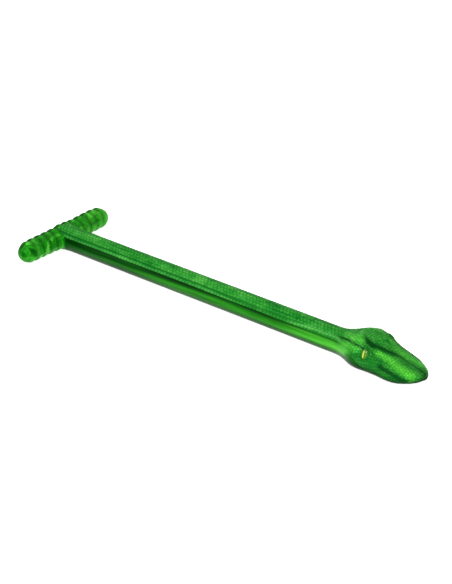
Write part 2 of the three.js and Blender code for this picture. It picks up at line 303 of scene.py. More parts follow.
def lattice(along, across):
    """Distance to the nearest and the next scale's middle, and the place along the nearest one.

    The rows are staggered. along is in scale lengths and across in rows, counted from the top line.
    """
    row_width = RADIUS * math.radians(ROW_ANGLE)
    row = np.floor(across)
    found = []
    for step in (-1, 0, 1):
        this = row + step
        offset = np.where(this % 2 == 0, 0.0, 0.5)
        du = along - offset - np.round(along - offset)
        dv = (across - this - 0.5) * row_width
        outside = (this < -ROWS_EACH_SIDE) | (this >= ROWS_EACH_SIDE)
        for shift in (0, 1):
            u = du - np.sign(du + 1e-9) * shift
            distance = np.hypot(u * SCALE_LENGTH, dv) + np.where(outside, 1.2, 0)
            found.append((distance, u))
    distances = np.stack([d for d, _ in found])
    places = np.stack([u for _, u in found])
    order = np.argsort(distances, axis=0)
    nearest = np.take_along_axis(distances, order[:1], 0)[0]
    second = np.take_along_axis(distances, order[1:2], 0)[0]
    place = np.take_along_axis(places, order[:1], 0)[0]
    return nearest, second, place


def scale_relief(nearest, second, place, size=1.9):
    """0 in the groove between two scales, 1 on a scale's top, which leans up towards the tail."""
    edge = smooth(0, 1.25, second - nearest)
    dome = 1 - 0.45 * np.clip(nearest / size, 0, 1) ** 2
    lean = 1 - 0.35 * (place + 0.5)
    return edge * dome * lean


def back_fields(x, psi_degrees):
    """The scaled back's mask and relief, with its lowest row brightened by a painted highlight on its raised
    tops, and the darker row above it.
    """
    along = (x - FIRST_CUT) / SCALE_LENGTH
    across = psi_degrees / ROW_ANGLE
    nearest, second, place = lattice(along, across)
    side = np.abs(psi_degrees)
    back = 1 - smooth(BACK_EDGE - 0.6, BACK_EDGE + 0.8, side)
    relief = scale_relief(nearest, second, place) * back
    core = smooth(0.1, 2.5, second - nearest) * (1 - 0.5 * (place + 0.5)) * back
    near_neck = smooth(290, 325, x)
    lowest = BACK_EDGE - 9 * near_neck
    dull = smooth(188, 236, x) * (1 - smooth(292, 315, x))
    bead_row_highlight = bump(lowest - 13, lowest + 2, side) * (1 - 0.85 * dull) * back
    shade = bump(BACK_EDGE - 27, BACK_EDGE - 8 + 14 * dull, side) * (1 - near_neck)
    shade = np.maximum(shade, near_neck * (0.3 + 0.5 * smooth(BACK_EDGE - 8, BACK_EDGE - 2, side)))
    shade = shade * (1 - 0.8 * bead_row_highlight * near_neck) * back
    return back, relief, core, bead_row_highlight, shade


def scutes(x, side):
    """The belly's shallow cross ridges, which lean back as they rise."""
    wave = np.cos(2 * np.pi * ((x - FIRST_CUT) / SCALE_LENGTH + (180 - side) / 60))
    return (0.06 + 0.07 * smooth(240, 330, x)) * wave * smooth(FLANK_END + 8, FLANK_END + 26, side)


def body_flank(x, side):
    """The dark band below the scales, painted shade along the hollow under the scales' edge, which grows
    narrower along the body and at the neck.
    """
    end = FLANK_END - 8 * smooth(60, 240, x) - 11 * smooth(270, 338, x)
    return smooth(BACK_EDGE - 1, BACK_EDGE + 2, side) * (1 - smooth(end - 12, end + 4, side))


def flank_hollow(side):
    """How far the skin stands out of its plain round, which is inwards and most so on the dark flank."""
    return -0.15 - 0.55 * bump(BACK_EDGE, FLANK_END, side)


def sunny_neck(x, side):
    """How much brighter the smooth skin is towards the neck, above the belly's shaded lower edge."""
    return 0.48 * smooth(262, 330, x) * (1 - smooth(90, 118, side))


def body_skin(x, psi):
    """Skin points and material fields on the body, for arrays of x and psi that broadcast together."""
    x, psi = np.broadcast_arrays(np.asarray(x, float), psi)
    side = np.abs(np.degrees(psi))
    base = base_point(x, psi)
    outward = unit(np.stack([np.zeros_like(x), np.sin(psi), np.cos(psi)], -1))
    back, relief, core, bead_row_highlight, shade = back_fields(x, np.degrees(psi))
    rise = flank_hollow(side)
    rise = rise + (SCALE_HEIGHT + 0.12 * bead_row_highlight) * (relief - 0.75) * back + scutes(x, side)
    points = base + outward * rise[..., None]
    points[..., 2] = soft_floor(points[..., 2])
    flank = body_flank(x, side)
    zero = np.zeros_like(x)
    fields = {
        "back": back, "relief": relief, "core": core, "bead_row_highlight": bead_row_highlight, "shade": shade, "flank": flank,
        # under: painted shade, darker towards the underside. lit: painted light, dim by the tail and brighter
        # by the neck.
        "under": smooth(86, 130, side), "lit": smooth(20, 190, x) + sunny_neck(x, side),
        "band": zero, "glow": zero, "marble": zero, "mottle": zero, "turn": side * TURN_LENGTH,
    }
    return points, fields


def body_columns():
    """Angles round the body, closer together on the scales and at the back's edge."""
    half = np.concatenate([
        np.linspace(0, BACK_EDGE, 40, endpoint=False),
        np.linspace(BACK_EDGE, BACK_EDGE + 5, 5, endpoint=False),
        np.linspace(BACK_EDGE + 5, FLANK_END, 7, endpoint=False),
        np.linspace(FLANK_END, 180, 23),
    ])
    return np.radians(np.concatenate([half, -half[-2:0:-1]]))


def tube_piece(name, start, end, surface, columns, step, material):
    """A closed length of skin: the surface outside, a plain bore inside and a ring face at each end."""
    rows = int(round((end - start) / step)) + 1
    spacing = (end - start) / (rows - 1)
    x = start + spacing * np.arange(-1, rows + 1)
    padded, _ = surface(x[:, None], columns[None, :])
    normals = grid_normals(padded)[1:-1]
    outer, fields = surface(x[1:-1, None], columns[None, :])
    count = len(columns)
    inner_x = np.linspace(start, end, BORE_ROWS)[:, None]
    angle = np.broadcast_to(columns[None, :], (BORE_ROWS, count))
    inner = np.stack([
        np.broadcast_to(inner_x, angle.shape),
        SKIN_INNER * np.sin(angle),
        AXIS_Z + SKIN_INNER * np.cos(angle),
    ], -1)
    inner_normals = np.stack([np.zeros_like(angle), -np.sin(angle), -np.cos(angle)], -1)
    offset = rows * count
    faces = grid_faces(rows, count) + grid_faces(BORE_ROWS, count, start=offset, flip=True)
    last_outer = (rows - 1) * count
    last_inner = offset + (BORE_ROWS - 1) * count
    for column in range(count):
        after = (column + 1) % count
        faces.append((column, after, offset + after, offset + column))
        faces.append((last_outer + after, last_outer + column, last_inner + column, last_inner + after))
    points = np.concatenate([outer.reshape(-1, 3), inner.reshape(-1, 3)])
    all_normals = np.concatenate([normals.reshape(-1, 3), inner_normals.reshape(-1, 3)])
    blank = np.zeros(BORE_ROWS * count)
    flat = {key: np.concatenate([value.ravel(), blank]) for key, value in fields.items()}
    return make_object(name, points, faces, material, flat, all_normals)


# ---------------------------------------------------------------- materials
class Nodes:
    """Short calls for building a node tree."""

    def __init__(self, name):
        self.material = bpy.data.materials.new(name)
        self.material.use_nodes = True
        self.tree = self.material.node_tree
        self.shader = self.tree.nodes["Principled BSDF"]

    def add(self, kind, **settings):
        node = self.tree.nodes.new("ShaderNode" + kind)
        for key, value in settings.items():
            setattr(node, key, value)
        return node

    def put(self, socket, value):
        if hasattr(value, "is_output"):
            self.tree.links.new(value, socket)
        else:
            socket.default_value = value

    def field(self, name):
        return self.add("Attribute", attribute_name=name).outputs["Fac"]

    def rest(self):
        return self.add("Attribute", attribute_name="rest").outputs["Vector"]

    def x_of(self, vector):
        node = self.add("SeparateXYZ")
        self.put(node.inputs["Vector"], vector)
        return node.outputs["X"]

    def stretch(self, vector, scale):
        node = self.add("Mapping")
        self.put(node.inputs["Vector"], vector)
        node.inputs["Scale"].default_value = scale
        return node.outputs["Vector"]

    def noise(self, vector, scale, detail=3.0, distortion=0.0, rough=0.5):
        node = self.add("TexNoise")
        self.put(node.inputs["Vector"], vector)
        node.inputs["Scale"].default_value = scale
        node.inputs["Detail"].default_value = detail
        node.inputs["Distortion"].default_value = distortion
        node.inputs["Roughness"].default_value = rough
        return node.outputs["Fac"]

    def ramp(self, value, stops):
        node = self.add("ValToRGB")
        self.put(node.inputs["Fac"], value)
        elements = node.color_ramp.elements
        while len(elements) < len(stops):
            elements.new(0.5)
        for element, (place, color) in zip(elements, stops):
            element.position = place
            element.color = (*color, 1)
        return node.outputs["Color"]

    def mix(self, factor, first, second, blend="MIX"):
        node = self.add("Mix", data_type="RGBA", blend_type=blend)
        self.put(node.inputs[0], factor)
        self.put(node.inputs[6], first if hasattr(first, "is_output") else (*first, 1))
        self.put(node.inputs[7], second if hasattr(second, "is_output") else (*second, 1))
        return node.outputs[2]

    def math(self, operation, first, second=0.0, clamp=False):
        node = self.add("Math", operation=operation, use_clamp=clamp)
        self.put(node.inputs[0], first)
        self.put(node.inputs[1], second)
        return node.outputs[0]

    def span(self, value, low, high, to_low=0.0, to_high=1.0):
        node = self.add("MapRange", interpolation_type="SMOOTHSTEP")
        self.put(node.inputs["Value"], value)
        node.inputs["From Min"].default_value = low
        node.inputs["From Max"].default_value = high
        node.inputs["To Min"].default_value = to_low
        node.inputs["To Max"].default_value = to_high
        return node.outputs["Result"]

    def bump(self, height, strength, distance=0.0002):
        node = self.add("Bump")
        node.inputs["Strength"].default_value = strength
        node.inputs["Distance"].default_value = distance
        self.put(node.inputs["Height"], height)
        return node.outputs["Normal"]

    def finish(self, color, roughness, metallic=0.0, normal=None, **constants):
        self.put(self.shader.inputs["Base Color"], color if hasattr(color, "is_output") else (*color, 1))
        self.put(self.shader.inputs["Roughness"], roughness)
        self.put(self.shader.inputs["Metallic"], metallic)
        if normal is not None:
            self.put(self.shader.inputs["Normal"], normal)
        for key, value in constants.items():
            self.shader.inputs[key.replace("_", " ")].default_value = value
        return self.material


def rgb(red, green, blue):
    """A colour given as it looks on a screen, from 0 to 255, in the linear values that nodes use."""
    linear = []
    for value in (red, green, blue):
        share = value / 255
        linear.append(share / 12.92 if value < 11 else ((share + 0.055) / 1.055) ** 2.4)
    return tuple(linear)


def scale_color(n, rest, mottle):
    """The scaled back: clouded scales with darker rows, a paler lowest row that is a painted highlight, and
    painted shade in the grooves.
    """
    cloud = n.noise(rest, 0.9, detail=4, distortion=0.6)
    fleck = n.noise(rest, 3.4, detail=3, distortion=0.3)
    lengthwise = n.noise(n.stretch(rest, (0.1, 1.0, 1.0)), 2.4, detail=3, distortion=0.2)
    tone = n.math("ADD", n.math("MULTIPLY", cloud, 0.3), n.math("MULTIPLY", fleck, 0.25))
    tone = n.math("ADD", tone, n.math("MULTIPLY", lengthwise, 0.45))
    shift = n.math("MULTIPLY", n.math("SUBTRACT", mottle, 0.5), 0.5)
    tone = n.math("ADD", tone, n.math("MULTIPLY", shift, n.field("mottle")))
    color = n.ramp(tone, [
        (0.38, rgb(12, 100, 26)),
        (0.46, rgb(34, 134, 38)),
        (0.53, rgb(50, 148, 48)),
        (0.62, rgb(82, 176, 70)),
    ])
    color = n.mix(n.math("MULTIPLY", n.field("shade"), 0.75), color, rgb(8, 92, 24))
    # The lowest row's pale strip is a painted highlight on its raised tops, paler still where the skin is
    # painted lit by the neck.
    strip = n.mix(n.span(n.field("lit"), 1.15, 1.4), rgb(66, 142, 68), rgb(112, 190, 104))
    color = n.mix(n.math("MULTIPLY", n.field("bead_row_highlight"), 0.5), color, strip)
    # Painted shade in the grooves between the scales, where core falls off.
    return n.mix(n.span(n.field("core"), 0.0, 0.6, 0.5, 0.0), color, rgb(6, 76, 16))


def smooth_color(n, rest):
    """The smooth skin: long streaks, with painted light that leaves it dim by the tail and brighter by the
    neck, and painted shade along the flank.
    """
    unrolled = n.add("CombineXYZ")
    n.put(unrolled.inputs["X"], n.x_of(rest))
    n.put(unrolled.inputs["Y"], n.field("turn"))
    streak = n.noise(n.stretch(unrolled.outputs["Vector"], (0.1, 1.6, 1.0)), 1.6, detail=4, distortion=0.2)
    dim = n.ramp(streak, [(0.3, rgb(3, 56, 3)), (0.6, rgb(10, 84, 10)), (0.8, rgb(22, 106, 16))])
    plain = n.ramp(streak, [
        (0.3, rgb(10, 80, 8)),
        (0.48, rgb(28, 114, 18)),
        (0.62, rgb(38, 124, 24)),
        (0.78, rgb(58, 144, 36)),
    ])
    sunny = n.ramp(streak, [(0.35, rgb(48, 146, 30)), (0.65, rgb(92, 200, 62))])
    flank = n.ramp(streak, [(0.35, rgb(0, 36, 2)), (0.65, rgb(2, 66, 6))])
    color = n.mix(n.math("MINIMUM", n.field("lit"), 1.0), dim, plain)
    color = n.mix(n.math("SUBTRACT", n.field("lit"), 1.0, clamp=True), color, sunny)
    # The flank field's dark streaked colour: painted shade along the body's flank, and the head's darker
    # cheeks.
    return n.mix(n.field("flank"), color, flank)


def marble_color(n, rest):
    swirl = n.noise(n.stretch(rest, (0.7, 1.0, 0.7)), 0.8, detail=2, distortion=1.2)
    return n.ramp(swirl, [
        (0.30, rgb(2, 58, 4)),
        (0.42, rgb(8, 98, 8)),
        (0.5, rgb(30, 140, 18)),
        (0.58, rgb(14, 110, 12)),
        (0.7, rgb(72, 182, 48)),
    ])


def skin_material(name):
    """Pearly green silicone: clouded on the back's scales, streaked on the belly, swirled on the T-bar."""
    n = Nodes(name)
    rest = n.rest()
    mottle = n.noise(n.stretch(rest, (0.7, 1.4, 1.4)), 4.5, detail=3, distortion=0.8)
    color = n.mix(n.field("back"), smooth_color(n, rest), scale_color(n, rest, mottle))
    # Painted shade: darker towards the underside.
    color = n.mix(n.math("MULTIPLY", n.field("under"), 0.85), color, rgb(1, 36, 4))
    color = n.mix(n.field("marble"), color, marble_color(n, rest))
    # The glow field's bright colour: painted highlights on the T-bar's ridges and arcs, the head's bright
    # patches, and the T-bar's paler right end and lower crests. It is strongest on the scales' tops, as
    # painted highlight.
    glow = n.math("MULTIPLY", n.field("glow"), n.span(n.field("core"), 0.0, 0.7, 0.5, 0.9))
    glow = n.math("MULTIPLY", glow, n.span(mottle, 0.35, 0.6, 0.6, 1.0))
    color = n.mix(glow, color, rgb(92, 208, 60))
    # band: the head's dark lines, and on the T-bar painted shade on its rear bumps and in the valleys between
    # its ribs.
    color = n.mix(n.math("MULTIPLY", n.field("band"), 0.92), color, rgb(1, 54, 12))
    rough = n.span(n.noise(rest, 6.0, detail=2), 0.3, 0.7, 0.3, 0.42)
    fine = n.bump(n.noise(rest, 22.0), 0.25, 0.00008)
    return n.finish(color, rough, 0.25, fine, Specular_IOR_Level=0.03)


def eye_material():
    n = Nodes("eye_gold")
    grain = n.noise(n.rest(), 16, distortion=0.6)
    color = n.ramp(grain, [(0.35, rgb(46, 112, 18)), (0.7, rgb(92, 148, 30))])
    # The lit field's pale band: a painted highlight beside the slit.
    color = n.mix(n.field("lit"), color, rgb(196, 198, 84))
    color = n.mix(n.field("flank"), color, rgb(20, 88, 12))
    color = n.mix(n.field("band"), color, rgb(92, 62, 10))
    rough = n.span(n.field("glow"), 0, 1, 0.16, 0.1)
    return n.finish(color, rough, Specular_IOR_Level=0.15, Coat_Weight=0.04, Coat_Roughness=0.08)


def nylon_material():
    n = Nodes("moulded_nylon")
    rest = n.add("TexCoord").outputs["Object"]
    grain = n.noise(rest, 900)
    color = n.ramp(grain, [(0.3, rgb(28, 31, 34)), (0.7, rgb(44, 48, 52))])
    return n.finish(color, n.span(grain, 0.3, 0.7, 0.45, 0.62), 0.0, n.bump(grain, 0.3, 0.00005))


def steel_material():
    n = Nodes("drawn_steel")
    rest = n.add("TexCoord").outputs["Object"]
    lines = n.noise(n.stretch(rest, (1.0, 1.0, 12.0)), 1200)
    color = n.ramp(lines, [(0.3, rgb(150, 152, 156)), (0.7, rgb(196, 198, 202))])
    return n.finish(color, n.span(lines, 0.3, 0.7, 0.22, 0.4), 1.0, n.bump(lines, 0.15, 0.00003))


SKIN = skin_material("snake_silicone")
EYE_GOLD = eye_material()
NYLON = nylon_material()
STEEL = steel_material()


# ---------------------------------------------------------------- body pieces
def make_body():
    """A closed piece of skin over each hinge."""
    columns = body_columns()
    for index, hinge in enumerate(HINGES):
        name = f"skin_over_bend_{index + 1:02d}" if index < len(HINGES) - 1 else "skin_over_neck"
        start, end = hinge - PITCH / 2, hinge + PITCH / 2
        piece = tube_piece(name, start, end, body_skin, columns, SKIN_STEP, SKIN)
        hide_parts(f"body_skin_{min(index + 1, len(HINGES) - 1):02d}")
        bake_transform(piece)


# ---------------------------------------------------------------- T-bar
RIB_PITCH = 9.4
BAR_RADIUS = 10.9
DOME_START = 45.5
DOME_LENGTH = BAR_HALF - DOME_START
FACET_ANGLE = 48.0
FACET_DISTANCE = 10.1
REAR_RIDGE = 87.0  # degrees round the bar, from the front over the top
LOWER_RIDGE = -10.0
SHAFT_OVERRUN = 4.5  # how far the body's back runs on over the bar
LEFT_LIFT = 1.5  # how much higher the soft left grip's end lies than the right one's
TEE_VOXEL = 0.5
SHAFT_SPARE = 6  # how far the T is made beyond its cut, before it is cut
SETTLE_STEPS = 6
TEE_WALL = 2.0
# Widths over which the T's surfaces run into each other
FACET_BLEND = 0.7
SHAFT_END_BLEND = 2.5
JOIN_BLEND = 2.6
FLOOR_BLEND = 0.4


def smooth_max(a, b, width):
    return 0.5 * (a + b + np.sqrt((a - b) ** 2 + width * width))


def bar_distance(p):
    """Roughly the distance outside the bar without its ribs: round, with two flat facets along it below."""
    x, y, up = p[:, 0], p[:, 1], p[:, 2] - AXIS_Z
    past = np.maximum(np.abs(y) - DOME_START, 0) / DOME_LENGTH
    stretched = np.sqrt(x * x + up * up + (BAR_RADIUS * past ** 1.2) ** 2)
    distance = stretched - BAR_RADIUS
    for angle in (-FACET_ANGLE, FACET_ANGLE - 180):
        a = math.radians(angle)
        facet = x * math.cos(a) + up * math.sin(a) - FACET_DISTANCE
        distance = smooth_max(distance, facet, FACET_BLEND)
    return distance


def shaft_distance(p):
    """Roughly the distance outside the start of the body, which ends just behind the bar's axis."""
    x, y, up = p[:, 0], p[:, 1], p[:, 2] - AXIS_Z
    return smooth_max(np.hypot(y, up) - RADIUS, -x - SHAFT_OVERRUN, SHAFT_END_BLEND)


def tee_distance(p):
    joined = -smooth_max(-bar_distance(p), -shaft_distance(p), JOIN_BLEND)
    return smooth_max(joined, -p[:, 2], FLOOR_BLEND)


def gradient(distance, p, step=0.05):
    """Slope of a distance function at the points, from small steps each way."""
    parts = []
    for axis in range(3):
        offset = np.zeros(3)
        offset[axis] = step
        parts.append((distance(p + offset) - distance(p - offset)) / (2 * step))
    return np.stack(parts, -1)


def rough_tee():
    """Two plain cylinders in one object, one along the bar and one along the start of the body."""
    shaft_end = FIRST_CUT + SHAFT_SPARE
    mesh = bmesh.new()
    for length, radius, along_x, middle in (
        (2 * BAR_HALF - 4, BAR_RADIUS - 0.5, False, 0.0),
        (shaft_end + SHAFT_OVERRUN, RADIUS, True, (shaft_end - SHAFT_OVERRUN) / 2),
    ):
        made = bmesh.ops.create_cone(
            mesh, cap_ends=True, segments=48, radius1=radius * MM, radius2=radius * MM, depth=length * MM
        )
        for vertex in made["verts"]:
            x, y, z = vertex.co
            vertex.co = (z + middle * MM, y, x) if along_x else (x, z, -y)
            vertex.co.z += AXIS_Z * MM
    bmesh.ops.recalc_face_normals(mesh, faces=mesh.faces)
    data = bpy.data.meshes.new("tee_rough")
    mesh.to_mesh(data)
    mesh.free()
    return link(bpy.data.objects.new("tee_rough", data))


def evenly_remeshed(rough):
    """The object's outer surface as an even mesh of small quads, in place of the object."""
    remesh = rough.modifiers.new("even", "REMESH")
    remesh.mode = "VOXEL"
    remesh.voxel_size = TEE_VOXEL * MM
    even = bpy.data.meshes.new_from_object(rough.evaluated_get(bpy.context.evaluated_depsgraph_get()))
    bpy.data.objects.remove(rough)
    return even


def plain_tee():
    """Points and faces of the plain T, cut at the grips' ends and where the first bending piece starts."""
    cut = bmesh.new()
    cut.from_mesh(evenly_remeshed(rough_tee()))
    for place, direction, clear in (
        ((FIRST_CUT, 0, 0), (1, 0, 0), True),
        ((0, GRIP_START, 0), (0, 1, 0), False),
        ((0, -GRIP_START, 0), (0, -1, 0), False),
    ):
        bmesh.ops.bisect_plane(
            cut,
            geom=cut.verts[:] + cut.edges[:] + cut.faces[:],
            dist=1e-6,
            plane_co=np.array(place) * MM,
            plane_no=direction,
            clear_outer=clear,
        )
    bmesh.ops.triangulate(cut, faces=[face for face in cut.faces if len(face.verts) > 4])
    points = np.array([vertex.co for vertex in cut.verts]) / MM
    faces = []
    for face in cut.faces:
        corners = [vertex.index for vertex in face.verts]
        faces.append(corners + corners[-1:] * (4 - len(corners)))
    cut.free()
    return points, np.array(faces)


def on_grip_cut(points):
    return np.isclose(np.abs(points[:, 1]), GRIP_START, atol=1e-3)


def settled(points):
    """The points moved onto the T's own surface. Those on a cut stay on it."""
    for _ in range(SETTLE_STEPS):
        slope = gradient(tee_distance, points)
        step = tee_distance(points) / np.maximum((slope ** 2).sum(1), 0.2)
        move = slope * np.clip(step, -0.6, 0.6)[:, None]
        move[:, 0] *= 1 - smooth(FIRST_CUT - 2.5, FIRST_CUT - 0.5, points[:, 0])
        move[on_grip_cut(points), 1] = 0
        points = points - move
    return points


def tee_fields(points):
    """The T's relief above its plain shape, and its material fields."""
    x, y, up = points[:, 0], points[:, 1], points[:, 2] - AXIS_Z
    angle = np.degrees(np.arctan2(up, x))  # round the bar: 0 in front, 90 on top, 180 behind
    angle = np.where(angle < -90, angle + 360, angle)
    along = np.where(x > 0, x, -BAR_RADIUS * np.radians(angle - 90))
    psi_degrees = np.degrees(np.arcsin(np.clip(y / RADIUS, -1, 1)))
    psi_degrees = np.where(up < 0, 90 * np.sign(psi_degrees), psi_degrees)
    saddle = 1 - smooth(REAR_RIDGE - 4, REAR_RIDGE + 2, angle)
    back, relief, core, bead_row_highlight, shade = (value * saddle for value in back_fields(along, psi_degrees))
    on_bar = smooth(0.2, 1.3, shaft_distance(points))
    rear = smooth(REAR_RIDGE + 1, REAR_RIDGE + 9, angle) * (1 - smooth(215, 235, angle))
    under = 1 - smooth(LOWER_RIDGE - 9, LOWER_RIDGE - 1, angle)
    rib = np.abs(y) / RIB_PITCH
    crest = np.abs(np.cos(np.pi * (rib - 0.5))) ** 0.8
    straight = 1 - smooth(DOME_START + 4, DOME_START + 9, np.abs(y))
    depth = 0.7 + 2.0 * rear + 0.9 * under
    ribs = depth * (crest - 0.66) * straight * np.maximum(on_bar, rear)
    ridge_fade = on_bar * (1 - smooth(50, 57, np.abs(y)))
    # Raised ridges along the bar, which also carry a painted highlight through the glow field.
    ridges = 0.6 * falloff(angle - REAR_RIDGE, 4) + 0.5 * falloff(angle - LOWER_RIDGE, 5)
    rise = ribs + ridges * ridge_fade + SCALE_HEIGHT * (relief - 0.75) * back
    zero = np.zeros_like(x)
    bare = 1 - back
    # Thin arcs of painted highlight across the ribs' fronts.
    arc = rib + 0.16 * np.cos(np.radians(angle - 38) * 1.6) - 0.08
    highlight_arcs = falloff(arc - np.round(arc), 0.07) * (1 - rear) * (1 - under) * on_bar
    # Painted shade on the rear bumps, which face away from the light, and in the valleys between the ribs.
    painted_rear_shade = rear * bare * (0.95 - 0.5 * crest)
    painted_valley_shade = (0.6 + 0.1 * under) * on_bar * (1 - crest) * straight
    shaft_side = np.degrees(np.arctan2(np.abs(y), up))
    pale_end = (0.25 * smooth(14, 24, y) + 0.35 * smooth(40, 54, y)) * (1 - rear)
    fields = {
        "back": back, "relief": relief, "core": core, "bead_row_highlight": bead_row_highlight * (1 - on_bar), "shade": shade,
        # Painted shade along the flank of the body's start.
        "flank": body_flank(x, shaft_side) * (1 - on_bar) * bare * (x > 0),
        # Painted shade, darker towards the underside of the body's start.
        "under": smooth(86, 130, shaft_side) * (1 - on_bar),
        "lit": zero, "mottle": zero, "turn": shaft_side * TURN_LENGTH,
        "band": np.maximum(painted_rear_shade, painted_valley_shade),
        "glow": np.clip(0.7 * ridges + 0.2 * highlight_arcs + 0.35 * under * crest + pale_end, 0, 1) * on_bar,
        "marble": np.maximum(on_bar, rear) * bare * (0.45 + 0.55 * crest),
    }
    return rise, fields


def make_tee():
    """The T's skin in three pieces, which all ride on the tail."""
    points, faces = plain_tee()
    points = settled(points)
    outward = unit(gradient(tee_distance, points))
    outward[on_grip_cut(points), 1] = 0
    rise, fields = tee_fields(points)
    shaped = points + outward * rise[:, None]
    shaped[:, 2] = soft_floor(shaped[:, 2]) + LEFT_LIFT * smooth(4, 42, points[:, 1])

    # Towards the first bending piece the T takes on exactly the body's surface
    psi = np.arctan2(points[:, 1], points[:, 2] - AXIS_Z)
    body, body_fields = body_skin(points[:, 0], psi)
    like_body = smooth(FIRST_CUT - 2.6, FIRST_CUT - 0.6, points[:, 0])
    shaped = shaped + (body - shaped) * like_body[:, None]
    fields = mixed(fields, body_fields, like_body)

    normals = mesh_normals(shaped, faces)
    middle_y = shaped[faces].mean(1)[:, 1]
    for name, chosen, node, slot in (
        ("t_bar_middle_skin", np.abs(middle_y) < GRIP_START, "tail_skin", "snake_skin"),
        ("left_grip_skin", middle_y > GRIP_START, "left_grip", "grip_skin"),
        ("right_grip_skin", middle_y < -GRIP_START, "right_grip", "grip_skin"),
    ):
        piece = shell_piece(name, shaped, normals, faces[chosen], fields, TEE_WALL, SKIN)
        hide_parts(node)
        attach(piece, BODIES[0])


# ---------------------------------------------------------------- head
JAW_START = 374.0
HEAD_SCALE = 3.0  # spacing of the small scales on the head
HEAD_ROWS = 215
HEAD_WALL = 1.6
COLUMNS_ABOVE_MOUTH = 84
COLUMNS_BELOW_MOUTH = 22
MOUTH_FRONT = 5.2  # height of the mouth at the snout
MOUTH_CLIMB = 2.6  # how much higher it is a mouth's length behind the snout
MOUTH_LENGTH = 62
NOSE = np.array([437.5, 0, 10.0])
NOSTRIL = np.array([431.5, 5.8, 11.4])

# Where the scales end on each side of the head, as x and degrees round from the top
SCALE_EDGE = [(340, 60), (358, 60), (368, 66), (378, 86), (390, 106), (440, 118)]
# Lines on the head's skin, as x and degrees round from the top. All but the crest have a mirror image.
CREST = [(384, -24), (390, -18), (393.5, -13), (397, -8), (401, -2), (405, 2), (409, 6), (419, 8), (432, 4)]
TEMPLE = [(380, 17), (388, 25)]
LIP_BAND = [(403, 61), (408, 58), (413, 58), (418, 65), (423, 84), (427, 102)]
EYE_LINE = [(334, 39), (346, 40), (355, 42), (364, 42), (376, 46), (384, 45)]
BRIGHT_SNOUT = [(395, 27), (401, 22), (406, 18), (411, 20), (416, 24), (422, 31), (428, 44)]
BRIGHT_NAPE = [(360, 30), (367, 30), (377, 29)]
BRIGHT_NECK = [(346, 74), (356, 68), (366, 61), (376, 56)]
# The pale strip is a painted highlight along the lowest row of scales near the neck.
PALE_STRIP = [(318, 50), (333, 49), (343, 51), (352, 55)]
BROW = [(376, 44), (384, 40), (391, 42)]


def mouth_height(x):
    return MOUTH_FRONT + MOUTH_CLIMB * np.clip((SNOUT_X - x) / MOUTH_LENGTH, 0, 1.2) ** 2


def mouth_angle(x):
    """Radians round the head, from the top, at which the mouth's height is reached."""
    bottom, widest, exponent = np.moveaxis(through(SECTIONS, x), -1, 0)[2:]
    share = np.clip((widest - mouth_height(x)) / np.maximum(widest - bottom, 0.2), 0.02, 0.98)
    return np.arccos(-share ** (exponent / 2))


def head_columns(x):
    """Angles round the head at each x, with one column on each side that runs along the mouth."""
    mouth = mouth_angle(x)[:, None]
    upper = mouth * np.linspace(0, 1, COLUMNS_ABOVE_MOUTH, endpoint=False)[None, :]
    lower = mouth + (np.pi - mouth) * np.linspace(0, 1, COLUMNS_BELOW_MOUTH)[None, :]
    half = np.concatenate([upper, lower], 1)
    return np.concatenate([half, -half[:, -2:0:-1]], 1)


def to_line(points, line, mirrored=True):
    """Distance to a line drawn on the head's skin. If mirrored, the line lies on both sides of the head."""
    p = folded(points) if mirrored else points
    x, degrees = np.array(line, float).T
    corners = base_point(x, np.radians(degrees))
    nearest = np.full(p.shape[:-1], 1e9)
    for start, end in zip(corners[:-1], corners[1:]):
        along = end - start
        t = np.clip(((p - start) @ along) / (along @ along), 0, 1)
        nearest = np.minimum(nearest, np.linalg.norm(p - start - t[..., None] * along, axis=-1))
    return nearest


def steepness_on_top(x):
    """How fast the head's top rises or falls from x to x + 1."""
    here, ahead = through(SECTIONS, np.array([x, x + 1.0]))[:, 1]
    return abs(float(ahead - here))


def head_seeds():
    """Middles of the head's scales: staggered rows across it, a scale apart on the skin."""
    rng = np.random.default_rng(7)
    seeds = []
    x, row = NECK_CUT - 12.0, 0
    while x < SNOUT_X - 1.5:
        psi = np.linspace(-2.2, 2.2, 400)
        line = base_point(np.full_like(psi, x), psi)
        arc = np.concatenate([[0], np.cumsum(np.linalg.norm(np.diff(line, axis=0), axis=1))])
        middle = np.interp(0, psi, arc)
        count = int(arc[-1] / HEAD_SCALE) // 2 + 1
        places = middle + (np.arange(-count, count + 1) + 0.5 * (row % 2)) * HEAD_SCALE
        places = places[(places > 0) & (places < arc[-1])]
        at = np.interp(places + rng.uniform(-0.3, 0.3, len(places)), arc, psi)
        seeds.append(base_point(x + rng.uniform(-0.3, 0.3, len(at)), at))
        x += HEAD_SCALE * 0.9 / math.hypot(1, steepness_on_top(x))
        row += 1
    return np.concatenate(seeds)


def head_lattice(points):
    """Distance to the nearest and the next scale's middle, and the place along the nearest one."""
    seeds = head_seeds()
    tree = kdtree.KDTree(len(seeds))
    for index, seed in enumerate(seeds):
        tree.insert(seed, index)
    tree.balance()
    flat = points.reshape(-1, 3)
    found = np.empty((len(flat), 3))
    for index, point in enumerate(flat):
        (near, _, first), (_, _, second) = tree.find_n(point, 2)
        found[index] = (first, second, (point[0] - near[0]) / HEAD_SCALE)
    return [found[:, i].reshape(points.shape[:-1]) for i in range(3)]


def eye_axes(side):
    """Unit vectors out of the eye, forwards along it and up it."""
    out = unit(np.array([0.16, 0.84, 0.5]))
    forward = unit(np.array([1.0, 0, 0.1]) - out * out[0])
    forward = unit(forward - out * (forward @ out))
    up = np.cross(out, forward)
    mirror = np.array([1, side, 1])
    return out * mirror, forward * mirror, up * mirror * (1 if up[2] > 0 else -1)


